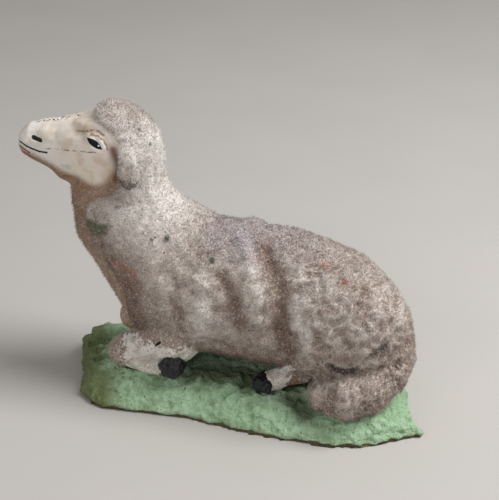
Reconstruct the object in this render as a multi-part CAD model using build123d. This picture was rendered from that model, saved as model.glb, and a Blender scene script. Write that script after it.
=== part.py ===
from build123d import *
import os
from math import cos, radians, sin

# A moulded figurine of a sheep lying on a painted mound, in millimetres.
# The head points to -X, the sheep's left side is -Y, and the mound's flat underside is at Z = 0.
# Rounded forms are closed solids of flat facets between rings of corners, which keeps their facets few.

# Driving dimensions of the mound
mound_length = 106.0
mound_left_reach = 53.4
mound_near_reach = 24.8
mound_far_reach = 19.0
mound_height = 9.0

# Driving dimensions of the sheep
sheep_length = 113.0
nose_reach = 65.8
sheep_height = 79.0
torso_depth = 41.0
torso_width = 32.0
neck_depth = 30.4
neck_width = 20.6
head_length = 39.0
head_depth = 20.4
head_width = 18.6

# Thickness of the fleece over the moulded body
coat_thickness = 1.2

# Haunches: the near one stands higher than the one the sheep lies on
haunch_length = 38.0
haunch_width = 25.0
haunch_height = 36.0
haunch_side = 7.0
haunch_place_shares = (0.818, 0.264)
far_haunch_share = 0.90
far_haunch_drop = 4.5

# Head features
eye_diameter = 4.6
eye_side = 6.9
eye_place_shares = (0.215, 0.880)
ear_length = 11.6
ear_width = 6.2
ear_thickness = 3.6
ear_side = 9.4
ear_place_shares = (0.308, 0.872)
ear_hang_angle = 6.0

# Legs: the thickness at each joint
shoulder_diameter = 15.0
knee_diameter = 10.0
shank_diameter = 9.0
fetlock_diameter = 7.4
fore_toe_diameter = 6.0
hock_diameter = 8.0
hind_toe_diameter = 5.2
fore_hoof_length = 7.6
fore_hoof_width = 7.0
hind_hoof_length = 5.0
hind_hoof_width = 5.2

# Tail
tail_root_diameter = 10.0
tail_diameter = 13.0
tail_tip_diameter = 10.0

# Corners round each kind of rounded form
trunk_sides = 24
haunch_sides = 24
head_sides = 20
tail_sides = 16
limb_sides = 12

# Stations of the torso and neck from rump to head: share of the sheep's length behind the nose, share of
# its height above the ground, lean of the section in degrees, share of the depth, share of the width
torso_shares = [
    (1.000, 0.165, -10, 0.18, 0.20),
    (0.990, 0.174, -10, 0.42, 0.46),
    (0.965, 0.185, -9, 0.63, 0.70),
    (0.915, 0.214, -8, 0.86, 0.87),
    (0.830, 0.248, -2, 0.97, 0.97),
    (0.715, 0.284, 2, 1.01, 1.00),
    (0.600, 0.307, 6, 1.00, 1.00),
    (0.476, 0.322, 20, 1.03, 1.00),
    (0.381, 0.375, 42, 1.03, 0.94),
]
neck_shares = [
    (0.313, 0.490, 56, 1.19, 1.20),
    (0.260, 0.572, 62, 1.12, 1.07),
    (0.2415, 0.655, 70, 1.05, 1.00),
    (0.248, 0.740, 76, 0.93, 0.91),
    (0.262, 0.830, 80, 0.80, 0.78),
    (0.278, 0.890, 82, 0.50, 0.52),
]

# Stations of the bare head from nape to nose: share of the head's length behind the nose, share of the
# sheep's height above the ground, share of the head's depth, share of its width
head_shares = [
    (1.000, 0.838, 0.36, 0.36),
    (0.975, 0.842, 0.55, 0.58),
    (0.915, 0.846, 0.76, 0.78),
    (0.815, 0.849, 0.94, 0.95),
    (0.700, 0.849, 1.00, 1.00),
    (0.583, 0.838, 0.96, 0.97),
    (0.455, 0.823, 0.89, 0.83),
    (0.328, 0.812, 0.82, 0.65),
    (0.200, 0.820, 0.67, 0.53),
    (0.097, 0.824, 0.53, 0.45),
    (0.036, 0.820, 0.37, 0.34),
    (0.010, 0.814, 0.17, 0.18),
]

# Side outline of the fleece on the head and on the body: share of the sheep's length behind the nose and
# share of its height above the ground
cap_edge_shares = [
    (0.195, 1.05),
    (0.212, 0.965),
    (0.245, 0.930),
    (0.268, 0.915),
    (0.283, 0.870),
    (0.286, 0.745),
]
throat_edge_shares = [
    (0.286, 0.745),
    (0.245, 0.684),
    (0.202, 0.652),
    (0.189, 0.608),
    (0.193, 0.544),
    (0.215, 0.487),
    (0.246, 0.418),
    (0.277, 0.360),
    (0.290, 0.280),
    (0.285, 0.160),
    (0.280, -0.05),
]
behind_head_share = 0.40
behind_rump_share = 1.10

# Stations of the mound from left to right: share of its length, near edge and far edge as shares of their
# reach (towards +Y is positive), share of its height
mound_shares = [
    (0.000, 0.10, 0.70, 0.62),
    (0.015, -0.04, 0.86, 0.78),
    (0.045, -0.30, 0.95, 0.89),
    (0.070, -0.58, 0.98, 0.94),
    (0.092, -0.74, 1.00, 0.97),
    (0.135, -0.81, 1.00, 0.99),
    (0.240, -0.81, 1.00, 1.00),
    (0.378, -0.81, 1.00, 1.00),
    (0.516, -0.93, 1.00, 1.00),
    (0.654, -0.99, 0.97, 0.98),
    (0.775, -1.00, 0.92, 0.94),
    (0.849, -0.94, 0.79, 0.89),
    (0.899, -0.83, 0.55, 0.80),
    (0.931, -0.74, 0.16, 0.67),
    (0.954, -0.68, -0.30, 0.46),
    (0.977, -0.63, -0.45, 0.26),
    (1.000, -0.58, -0.50, 0.14),
]

# The mound's surface in a station: share of the station's width and share of its height, from below the
# ground line on one side to below it on the other
slope_shares = [
    (-0.03, -0.30),
    (0.04, 0.25),
    (0.09, 0.52),
    (0.15, 0.78),
    (0.22, 0.94),
    (0.35, 1.00),
    (0.72, 1.00),
    (0.87, 0.98),
    (0.93, 0.85),
    (0.97, 0.58),
    (1.01, -0.30),
]

# Leg joints: share of the sheep's length behind the nose, share of half the torso's width to the side,
# share of the sheep's height above the ground
shoulder_place_shares = (0.412, 0.58, 0.150)
knee_place_shares = (0.270, 0.50, 0.062)
far_knee_place_shares = (0.258, 0.50, 0.098)
fetlock_place_shares = (0.350, 0.66, 0.040)
fore_toe_place_shares = (0.400, 0.70, 0.042)
hock_place_shares = (0.740, 0.56, 0.060)
hind_toe_place_shares = (0.645, 0.74, 0.020)

# The tail's path from its root on the rump to its tip beside the left haunch
tail_path_shares = [
    (0.955, 0.10, 0.120),
    (0.945, 0.56, 0.085),
    (0.898, 0.92, 0.055),
    (0.845, 1.06, 0.042),
    (0.802, 1.00, 0.038),
]

# Rings that round off an end: share of the end's radius along, and of the ring's radius
end_ring_shares = [(0.31, 0.951), (0.59, 0.809), (0.81, 0.588), (0.95, 0.309)]


def grid(along_share, side, rise_share):
    """A place on the sheep: behind the nose, to the side and above the ground."""
    return Vector(
        -nose_reach + along_share * sheep_length, side, mound_height + rise_share * sheep_height
    )


def facet(*corners):
    """A flat facet between corners."""
    return Face(Wire.make_polygon(corners, close=True))


def banded(rings):
    """A closed solid of flat facets from ring to ring; corners run anticlockwise seen from the next ring."""
    facets = [facet(*rings[0]), facet(*rings[-1])]
    for ring, following in zip(rings, rings[1:]):
        for i in range(len(ring)):
            a, b, c, d = ring[i - 1], ring[i], following[i], following[i - 1]
            if (c - a).length < (d - b).length:
                facets += [facet(a, b, c), facet(a, c, d)]
            else:
                facets += [facet(a, b, d), facet(b, c, d)]
    return Solid(Shell(facets))


def oval(plane, half_across, half_up, sides):
    """The corners of an oval section on a plane."""
    turns = [radians(360 * (i + 0.5) / sides) for i in range(sides)]
    return [plane.from_local_coords((half_across * cos(turn), half_up * sin(turn), 0)) for turn in turns]


def eased(stations):
    """The stations with one more between each pair, on a smooth curve through them all."""
    last = len(stations) - 1
    smooth = [stations[0]]
    for i in range(last):
        outer = zip(stations[max(i - 1, 0)], stations[min(i + 2, last)])
        inner = zip(stations[i], stations[i + 1])
        smooth.append(tuple((9 * (b + c) - a - d) / 16 for (a, d), (b, c) in zip(outer, inner)))
        smooth.append(stations[i + 1])
    return smooth


def trunk_form(inset, smooth):
    """The torso and neck in one, from rump to head, drawn in by an inset."""
    neck_deep = neck_depth / torso_depth
    neck_wide = neck_width / torso_width
    stations = list(torso_shares)
    for along, rise, lean, deep, wide in neck_shares:
        stations.append((along, rise, lean, deep * neck_deep, wide * neck_wide))
    if smooth:
        stations = eased(stations)
    rings = []
    for along, rise, lean, deep, wide in stations:
        normal = Vector(-cos(radians(lean)), 0, sin(radians(lean)))
        plane = Plane(origin=grid(along, 0, rise), x_dir=(0, 1, 0), z_dir=normal)
        if lean < 0:
            plane = plane.offset(inset * (1 - deep))
        half_wide = wide * torso_width / 2 - inset
        half_deep = deep * torso_depth / 2 - inset
        rings.append(oval(plane, half_wide, half_deep, trunk_sides))
    return banded(rings)


def ovoid(half_x, half_y, half_z, sides):
    """An egg-like solid along Z, rounded off at both ends."""
    steps = [(-along, across) for along, across in reversed(end_ring_shares)]
    steps += [(0, 1)] + end_ring_shares
    rings = []
    for up, out in steps:
        rings.append(oval(Plane.XY.offset(up * half_z), half_x * out, half_y * out, sides))
    return banded(rings)


def haunches(inset):
    """The pair of rounded haunches, drawn in by an inset."""
    along, rise = haunch_place_shares
    half_length = haunch_length / 2 - inset
    half_height = haunch_height / 2 - inset
    half_width = haunch_width / 2 - inset
    near = Rot(90, 0, 0) * ovoid(half_length, half_height, half_width, haunch_sides)
    far_sizes = [half * far_haunch_share for half in (half_length, half_height, half_width)]
    far = Rot(90, 0, 0) * ovoid(*far_sizes, haunch_sides)
    near_place = grid(along, -haunch_side, rise)
    far_place = grid(along, haunch_side, rise) - Vector(0, 0, far_haunch_drop)
    return Pos(near_place) * near + Pos(far_place) * far


def head_form(growth):
    """The head from nape to nose, grown all round by a skin."""
    rings = []
    for along, rise, deep, wide in head_shares:
        place = Vector(-nose_reach + along * head_length, 0, mound_height + rise * sheep_height)
        plane = Plane(origin=place, x_dir=(0, 1, 0), z_dir=(-1, 0, 0))
        if not rings:
            plane = plane.offset(-growth)
        half_wide = wide * head_width / 2 + growth
        half_deep = deep * head_depth / 2 + growth
        rings.append(oval(plane, half_wide, half_deep, head_sides))
    return banded(rings)


def eyes():
    """The bulges of the two eyes on the sides of the head."""
    along, rise = eye_place_shares
    radius = eye_diameter / 2
    near = Pos(grid(along, -eye_side, rise)) * ovoid(radius, radius, radius, limb_sides)
    return near + mirror(near, Plane.XZ)


def side_region(edge_shares, closing_shares):
    """A slab across the whole width, bounded in side view by a curved edge and closing corners."""
    edge = [grid(along, 0, rise) for along, rise in edge_shares]
    corners = [grid(along, 0, rise) for along, rise in closing_shares]
    outline = [Spline(*edge), Polyline(edge[-1], *corners, edge[0])]
    return extrude(make_face(outline), torso_width, dir=(0, 1, 0), both=True)


def limb(places, diameters, sides, blunt=False):
    """A tapered limb through its joints, rounded off at both ends unless it ends blunt."""
    rings = []
    last = len(places) - 1
    for i, (place, diameter) in enumerate(zip(places, diameters)):
        run = (places[min(i + 1, last)] - places[max(i - 1, 0)]).normalized()
        across = Vector(run.Y, -run.X, 0)
        radius = diameter / 2
        joint = [(0, 1)]
        if i == 0:
            joint = [(-along, out) for along, out in reversed(end_ring_shares)] + joint
        if i == last and not blunt:
            joint += end_ring_shares
        for along, out in joint:
            plane = Plane(origin=place + run * (along * radius), x_dir=across, z_dir=run)
            rings.append(oval(plane, out * radius, out * radius, sides))
    return banded(rings)


def side_place(shares, side):
    """A joint's place on one side: -1 is the sheep's left, 1 its right."""
    along, out, rise = shares
    return grid(along, side * out * torso_width / 2, rise)


def foreleg(side, knee_shares):
    """A folded foreleg: forearm down to the knee, shank back along the ground."""
    shoulder = side_place(shoulder_place_shares, side)
    knee = side_place(knee_shares, side)
    fetlock = side_place(fetlock_place_shares, side)
    toe = side_place(fore_toe_place_shares, side)
    forearm = limb([shoulder, knee], [shoulder_diameter, knee_diameter], limb_sides)
    shank_diameters = [shank_diameter, fetlock_diameter, fore_toe_diameter]
    shank = limb([knee, fetlock, toe], shank_diameters, limb_sides, True)
    return forearm + shank


def hind_foot(side):
    """The part of a hind leg that comes out from under its haunch."""
    hock = side_place(hock_place_shares, side)
    toe = side_place(hind_toe_place_shares, side)
    return limb([hock, toe], [hock_diameter, hind_toe_diameter], limb_sides, True)


def hoof(root, toe, length, width):
    """A thick hoof tip that takes in the blunt end of a leg."""
    run = (toe - root).normalized()
    plane = Plane(origin=toe, x_dir=Vector(run.Y, -run.X, 0), z_dir=run)
    return plane.location * ovoid(width / 2, width / 2, length / 2, limb_sides)


def tail_form():
    """The woolly tail, laid round the left haunch."""
    places = [side_place(shares, -1) for shares in tail_path_shares]
    diameters = [tail_root_diameter, tail_diameter, tail_diameter, tail_diameter, tail_tip_diameter]
    return limb(places, diameters, tail_sides)


def ear_form():
    """The left ear, a flat hanging leaf."""
    along, rise = ear_place_shares
    leaf = ovoid(ear_width / 2, ear_thickness / 2, ear_length / 2, limb_sides)
    leaf = Pos(0, 0, -ear_length / 2) * leaf
    return Pos(grid(along, -ear_side, rise)) * Rot(-ear_hang_angle, 0, 0) * leaf


def mound_ring(station):
    """The corners of one upright section of the mound, reaching a little below the ground line."""
    along, near_share, far_share, high = station
    x = -mound_left_reach + along * mound_length
    near = near_share * (mound_near_reach if near_share < 0 else mound_far_reach)
    far = far_share * (mound_near_reach if far_share < 0 else mound_far_reach)
    width = far - near
    height = high * mound_height
    return [Vector(x, near + across * width, rise * height) for across, rise in slope_shares]


def mound_form():
    """The mound, trimmed flat underneath."""
    blank = banded([mound_ring(station) for station in reversed(mound_shares)])
    return split(blank, bisect_by=Plane.XY, keep=Keep.TOP)


def cut(shape, *tools):
    """A solid less some others, keeping its largest piece."""
    for tool in tools:
        shape = (shape - tool).solids().sort_by(SortBy.VOLUME)[-1]
    return shape


# Forms before they are cut against each other
outer_trunk = trunk_form(0, True) + haunches(0)
inner_trunk = trunk_form(coat_thickness, False) + haunches(coat_thickness)
bare_head = head_form(0)
capped_head = head_form(coat_thickness)
core = inner_trunk + bare_head + eyes()

# The fleece, as one cap on the head and one coat on the body
cap_low = cap_edge_shares[-1][1]
cap_high = cap_edge_shares[0][1]
cap_region = side_region(cap_edge_shares, [(behind_head_share, cap_low), (behind_head_share, cap_high)])
coat_corners = [
    (behind_rump_share, throat_edge_shares[-1][1]),
    (behind_rump_share, cap_high),
    (throat_edge_shares[0][0], cap_high),
]
coat_region = side_region(throat_edge_shares, coat_corners)
fleece_cap = cut(capped_head & cap_region, core)
fleece_coat = cut(outer_trunk & coat_region, core, capped_head)
woolly_body = core + fleece_coat + fleece_cap

# Legs and hooves, each cut by what carries it
parts = {}
for name, side, knee_shares in (("left", -1, knee_place_shares), ("right", 1, far_knee_place_shares)):
    fetlock = side_place(fetlock_place_shares, side)
    fore_toe = side_place(fore_toe_place_shares, side)
    fore_hoof = cut(hoof(fetlock, fore_toe, fore_hoof_length, fore_hoof_width), woolly_body)
    hock = side_place(hock_place_shares, side)
    hind_toe = side_place(hind_toe_place_shares, side)
    hind_hoof = cut(hoof(hock, hind_toe, hind_hoof_length, hind_hoof_width), woolly_body)
    parts["foreleg_" + name] = cut(foreleg(side, knee_shares), woolly_body, fore_hoof)
    parts["hoof_fore_" + name] = fore_hoof
    parts["hind_foot_" + name] = cut(hind_foot(side), woolly_body, hind_hoof)
    parts["hoof_hind_" + name] = hind_hoof

# Tail and ears
parts["tail"] = cut(tail_form(), woolly_body, parts["hind_foot_left"])
parts["ear_left"] = cut(ear_form(), woolly_body)
parts["ear_right"] = mirror(parts["ear_left"], Plane.XZ)

# The mound, with a seat for everything that stands on it
parts["base_mound"] = cut(mound_form(), woolly_body, *parts.values())

# The fleece, and the moulded body's halves on each side of its middle plane
parts["fleece_coat"] = fleece_coat
parts["fleece_cap"] = fleece_cap
parts["body_half_left"] = split(core, bisect_by=Plane.XZ, keep=Keep.TOP)
parts["body_half_right"] = split(core, bisect_by=Plane.XZ, keep=Keep.BOTTOM)

os.makedirs("parts", exist_ok=True)
for name, shape in parts.items():
    export_step(shape, f"parts/{name}.step")
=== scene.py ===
from itertools import product
from math import cos, radians, sin

import bmesh
import bpy
import numpy as np
from bpy.props import FloatProperty, FloatVectorProperty, IntProperty, PointerProperty
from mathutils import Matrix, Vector
from mathutils.bvhtree import BVHTree
from mathutils.kdtree import KDTree


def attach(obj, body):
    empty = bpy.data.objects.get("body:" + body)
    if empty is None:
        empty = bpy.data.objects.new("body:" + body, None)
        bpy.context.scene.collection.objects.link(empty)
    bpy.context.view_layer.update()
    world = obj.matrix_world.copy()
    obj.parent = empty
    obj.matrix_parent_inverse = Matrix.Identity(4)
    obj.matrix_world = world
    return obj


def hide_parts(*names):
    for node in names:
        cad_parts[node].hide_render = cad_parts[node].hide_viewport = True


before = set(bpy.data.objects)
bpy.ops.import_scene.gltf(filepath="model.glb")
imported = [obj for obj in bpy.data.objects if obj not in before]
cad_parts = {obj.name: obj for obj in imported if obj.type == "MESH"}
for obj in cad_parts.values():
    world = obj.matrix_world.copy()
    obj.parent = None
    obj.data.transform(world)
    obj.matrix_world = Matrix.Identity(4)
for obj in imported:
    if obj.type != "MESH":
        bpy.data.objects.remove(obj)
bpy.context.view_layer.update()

bl_info = {
    "name": "Flocked sheep figurine",
    "version": (1, 0, 0),
    "blender": (4, 5, 0),
    "location": "3D View > Sidebar > Sheep",
    "description": "Dresses a moulded sheep figurine with flock, paint and a green mound",
    "category": "Object",
}

# All shaping below is in millimetres, in the frame's own axes; the mesh data goes out in metres.
# Paths on the sheep are given for one side as (along, out, up): the head is at -X and out is |Y|.
MM = 0.001
LEFT, RIGHT = -1, 1
BOTH, NEAR = (LEFT, RIGHT), (LEFT,)
HEAD_CENTRE = (-44.0, 0.0, 76.0)
HEAD_REACH = 22.0


def paint(red, green, blue):
    """A colour seen on screen, from 0 to 255, as the linear values that shaders use."""
    linear = []
    for level in (red, green, blue):
        share = level / 255
        linear.append(share / 12.92 if share < 0.04045 else ((share + 0.055) / 1.055) ** 2.4)
    return tuple(linear)


FLOCK_TIP = paint(240, 234, 228)
FLOCK_LIGHT = paint(226, 220, 213)
FLOCK_MID = paint(174, 160, 150)
FLOCK_BROWN = paint(114, 82, 58)
FLOCK_LILAC = paint(143, 133, 138)
FACE_CREAM = paint(234, 222, 210)
DIRT_AND_SHADE_BROWN = paint(152, 122, 96)
DEEP_BROWN = paint(98, 62, 42)
PAINT_BLACK = paint(14, 15, 20)
EYE_WHITE = paint(232, 230, 225)
LIP_RED = paint(150, 70, 66)
GREEN_LIGHT = paint(176, 206, 170)
GREEN_MID = paint(152, 184, 144)
GREEN_DARK = paint(92, 98, 48)
PLASTER = paint(222, 218, 210)
HOOF_BLACK = paint(17, 18, 23)


def smooth(value, low, high):
    """0 at low, 1 at high and a soft step between, for arrays; low may be the larger."""
    share = np.clip((value - low) / (high - low), 0, 1)
    return share * share * (3 - 2 * share)


def mixed(first, second, share):
    """Colours between two others, one for each share."""
    share = np.clip(share, 0, 1)[..., None]
    return np.asarray(first) * (1 - share) + np.asarray(second) * share


def layered(tone, *layers):
    """Colours with others laid over them in turn, each layer given as a share and a colour."""
    for share, colour in layers:
        tone = mixed(tone, colour, share)
    return tone


# Noise on places in millimetres, turned so that its grid doesn't show
GRID_TURN = np.array([[0.80, 0.60, 0.0], [-0.48, 0.64, 0.60], [0.36, -0.48, 0.80]])
CURL_TURN = np.array([[0.36, 0.48, -0.80], [-0.80, 0.60, 0.0], [0.48, 0.64, 0.60]])


def lattice_value(cell, seed):
    """A repeatable random value from -1 to 1 for each whole-number place, whose bits are mixed."""
    key = cell[:, 0] * 73856093 ^ cell[:, 1] * 19349663 ^ cell[:, 2] * 83492791 ^ (seed * 7919 + 11)
    key = (key ^ (key >> 13)) * 1274126177 & 0xFFFFFFFF
    key = (key ^ (key >> 15)) * 2246822519 & 0xFFFFFFFF
    return (key ^ (key >> 13)) % 65521 / 32760 - 1


def lumps(points, size, seed):
    """Smooth noise from about -1 to 1, with lumps of one size."""
    grid = points @ GRID_TURN / size + 100 + seed * 3.7
    cell = np.floor(grid).astype(np.int64)
    part = grid - cell
    part = part * part * (3 - 2 * part)
    total = np.zeros(len(points))
    for corner in product((0, 1), repeat=3):
        weight = np.prod(np.where(corner, part, 1 - part), axis=1)
        total += weight * lattice_value(cell + np.array(corner), seed)
    return total


def rough(points, size, seed, layers=3):
    """Noise of several sizes, each half as large and half as strong as the last."""
    total = 0
    for layer in range(layers):
        total = total + lumps(points, size / 2**layer, seed + layer) / 2**layer
    return total / 1.6


def curls(points, size, seed):
    """Rounded ridges that wander like worms: 1 on a ridge and 0 between two."""
    bend = np.stack([lumps(points, size * 1.7, seed + 5 + i) for i in range(3)], axis=1)
    bent = points + 0.7 * size * bend
    wander = lumps(bent, size, seed) + lumps(bent @ CURL_TURN, size * 0.85, seed + 40)
    return smooth(np.abs(wander), 0.80, -0.25)


def stroke(points, path, width, sides=BOTH):
    """1 on a path and a soft fall to 0 beside it, on the sides of the figurine that it is for."""
    found = np.zeros(len(points))
    path = [np.asarray(place, float) for place in path]
    for side in sides:
        best = np.full(len(points), 1e9)
        places = points * (1, side, 1)
        for start, end in zip(path, path[1:] or path):
            run = end - start
            share = np.clip((places - start) @ run / max(run @ run, 1e-9), 0, 1)
            best = np.minimum(best, np.linalg.norm(places - start - share[:, None] * run, axis=1))
        found = np.maximum(found, np.exp(-((best / width) ** 2)))
    return found


def strongest(points, marks, sides=BOTH):
    """The strongest of some soft strokes, each given as a share, a width and a path."""
    return np.maximum.reduce([share * stroke(points, path, width, sides) for share, width, path in marks])


# Shaping of closed surfaces


def read(items, name, width, kind=float):
    """What the parts of a mesh hold under a name, in rows of a width."""
    values = np.empty(len(items) * width, kind)
    items.foreach_get(name, values)
    return values.reshape(-1, width)


def cad_surface(*nodes):
    """The corners and triangles of some CAD nodes together, in millimetres."""
    corners, triangles, count = [], [], 0
    for node in nodes:
        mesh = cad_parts[node].data
        mesh.calc_loop_triangles()
        corners.append(read(mesh.vertices, "co", 3) / MM)
        triangles.append(read(mesh.loop_triangles, "vertices", 3, np.int32) + count)
        count += len(mesh.vertices)
    return np.vstack(corners), np.vstack(triangles)


def opened(points, way):
    """Doubles the head's size for a finer mesh there (way 1), or takes it back again (way -1)."""
    out = points - HEAD_CENTRE
    far = np.linalg.norm(out, axis=1, keepdims=True) + 1e-9
    if way > 0:
        return HEAD_CENTRE + out * (1 + np.minimum(1, HEAD_REACH / far))
    return HEAD_CENTRE + out * np.where(far < 2 * HEAD_REACH, 0.5, 1 - HEAD_REACH / far)


def placed(name, data, material=None):
    """A new object in the scene, with its material."""
    if material:
        data.materials.append(material)
    thing = bpy.data.objects.new(name, data)
    bpy.context.collection.objects.link(thing)
    return thing


class Form:
    """A closed surface of small quads, in millimetres, that is shaped by moving its points."""

    def __init__(self, nodes, grain, fine_head=False):
        corners, triangles = cad_surface(*nodes)
        raw = bpy.data.meshes.new("raw")
        raw.from_pydata(corners.tolist(), [], triangles.tolist())
        if fine_head:
            shape = bmesh.new()
            shape.from_mesh(raw)
            bmesh.ops.subdivide_edges(shape, edges=shape.edges[:], cuts=2, use_grid_fill=True)
            shape.to_mesh(raw)
            shape.free()
            raw.vertices.foreach_set("co", opened(read(raw.vertices, "co", 3), 1).ravel())
        holder = placed("raw", raw)
        remesh = holder.modifiers.new("remesh", "REMESH")
        remesh.mode = "VOXEL"
        remesh.voxel_size = grain
        view = bpy.context.evaluated_depsgraph_get()
        mesh = bpy.data.meshes.new_from_object(holder.evaluated_get(view))
        self.points = read(mesh.vertices, "co", 3)
        if fine_head:
            self.points = opened(self.points, -1)
        self.quads = read(mesh.polygons, "vertices", 4, np.int64)
        self.edges = read(mesh.edges, "vertices", 2, np.int64)
        bpy.data.objects.remove(holder)
        bpy.data.meshes.remove(raw)
        bpy.data.meshes.remove(mesh)
        self.keep_largest()

    def keep_largest(self):
        """Drops the crumbs that a pocket between two CAD nodes leaves inside the form."""
        group = np.arange(len(self.points))
        first, second = self.edges[:, 0], self.edges[:, 1]
        while True:
            least = np.minimum(group[first], group[second])
            joined = group.copy()
            np.minimum.at(joined, first, least)
            np.minimum.at(joined, second, least)
            joined = joined[joined]
            if (joined == group).all():
                break
            group = joined
        kept = group == np.bincount(group).argmax()
        number = np.cumsum(kept) - 1
        self.points = self.points[kept]
        self.quads = number[self.quads[kept[self.quads[:, 0]]]]
        self.edges = number[self.edges[kept[self.edges[:, 0]]]]

    def gathered(self, index, values):
        """The sum of values at each point."""
        count = len(self.points)
        return np.stack([np.bincount(index, values[:, i], count) for i in range(3)], axis=1)

    def pull(self):
        """For each point, the way to the middle of its neighbours."""
        first, second = self.edges[:, 0], self.edges[:, 1]
        total = self.gathered(first, self.points[second]) + self.gathered(second, self.points[first])
        count = np.bincount(self.edges.ravel(), minlength=len(self.points))
        return total / np.maximum(count, 1)[:, None] - self.points

    def fair(self, rounds):
        """Takes the facets out of the surface and keeps its size: it shrinks, then swells back."""
        for _ in range(rounds):
            for share in (0.60, -0.62):
                self.points = self.points + share * self.pull()

    def melt(self, share, rounds):
        """Fills creases and wears edges where the share is above 0."""
        share = share[:, None]
        for _ in range(rounds):
            self.points = self.points + 0.7 * share * self.pull()

    def normals(self):
        """The outward direction at each point."""
        corner = self.points[self.quads]
        face = np.cross(corner[:, 2] - corner[:, 0], corner[:, 3] - corner[:, 1])
        total = sum(self.gathered(self.quads[:, i], face) for i in range(4))
        return total / (np.linalg.norm(total, axis=1, keepdims=True) + 1e-12)

    def push(self, heights):
        """Moves each point outward by its height."""
        self.points = self.points + self.normals() * np.asarray(heights)[:, None]

    def carve(self, marks, sides=BOTH):
        """Raises or sinks soft strokes, each given as a height, a width and a path."""
        height = np.zeros(len(self.points))
        for rise, width, path in marks:
            height += rise * stroke(self.points, path, width, sides)
        self.push(height)

    def distance(self, *nodes):
        """Each point's distance from some CAD nodes."""
        corners, triangles = cad_surface(*nodes)
        tree = BVHTree.FromPolygons(corners.tolist(), triangles.tolist())
        return np.array([tree.find_nearest(Vector(point))[3] for point in self.points])

    def make(self, name, material, **tones):
        """The finished object, with a colour or number for each point under each tone's name."""
        mesh = bpy.data.meshes.new(name)
        mesh.from_pydata((self.points * MM).tolist(), [], self.quads.tolist())
        for tone, values in tones.items():
            values = np.asarray(values, float)
            if values.ndim == 1:
                layer = mesh.attributes.new(tone, "FLOAT", "POINT")
                layer.data.foreach_set("value", values)
            else:
                layer = mesh.color_attributes.new(tone, "FLOAT_COLOR", "POINT")
                layer.data.foreach_set("color", np.c_[values, np.ones(len(values))].ravel())
        mesh.shade_smooth()
        return placed(name, mesh, material)


def halved(piece, names, sides):
    """Cuts a piece at the middle plane into its left and right halves, both closed."""
    halves = []
    for name, side in zip(names, sides):
        half = piece.copy()
        half.data = piece.data.copy()
        half.name = half.data.name = name
        bpy.context.collection.objects.link(half)
        shape = bmesh.new()
        shape.from_mesh(half.data)
        everything = shape.verts[:] + shape.edges[:] + shape.faces[:]
        made = bmesh.ops.bisect_plane(
            shape, geom=everything, plane_co=(0, 0, 0), plane_no=(0, -side, 0), clear_outer=True
        )
        rim = [part for part in made["geom_cut"] if isinstance(part, bmesh.types.BMEdge)]
        made = bmesh.ops.holes_fill(shape, edges=rim, sides=0)
        for face in made["faces"]:
            face.smooth = False
        for edge in rim:
            if edge.is_valid:
                edge.smooth = False
        shape.to_mesh(half.data)
        shape.free()
        halves.append(half)
    bpy.data.objects.remove(piece)
    return halves


def seat(piece, slot, *nodes):
    """Puts a piece under the figurine's root and hides the CAD nodes that it stands for; its slot is not
    used.
    """
    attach(piece, "root")
    if nodes:
        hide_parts(*nodes)


# Materials


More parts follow.
